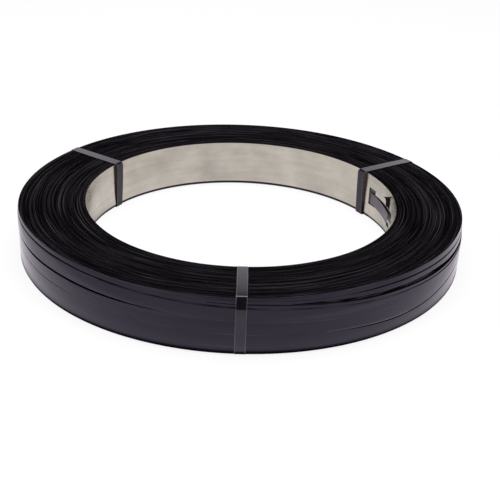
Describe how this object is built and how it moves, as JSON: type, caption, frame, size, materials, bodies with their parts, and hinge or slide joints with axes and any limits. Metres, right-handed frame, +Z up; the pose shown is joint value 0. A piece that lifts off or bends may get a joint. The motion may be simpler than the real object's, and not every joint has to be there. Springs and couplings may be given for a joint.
{
  "type": "steel strapping coil",
  "caption": "Flat oscillated-wound coil of black steel strapping on a bright steel core ring, held by narrow steel ties, for use on a strapping dispenser.",
  "frame": {"origin": "on the axis of the core ring's bore, in the plane of the undersides of the ties, which the coil lies on", "axes": "+Z up along the bore, -Y towards the front tie, +X to the right of the picture"},
  "size_m": [0.578, 0.5789, 0.0666],
  "materials": {
    "black_strap": "glossy black lacquer",
    "bright_steel": "satin rolled steel",
    "tie_strap": "satin black lacquer"
  },
  "bodies": {
    "root": {"strap_coil": "black_strap", "core_ring": "bright_steel", "tie_strap_front": "tie_strap", "tie_strap_right": "tie_strap", "tie_strap_left": "tie_strap"}
  },
  "joints": []
}
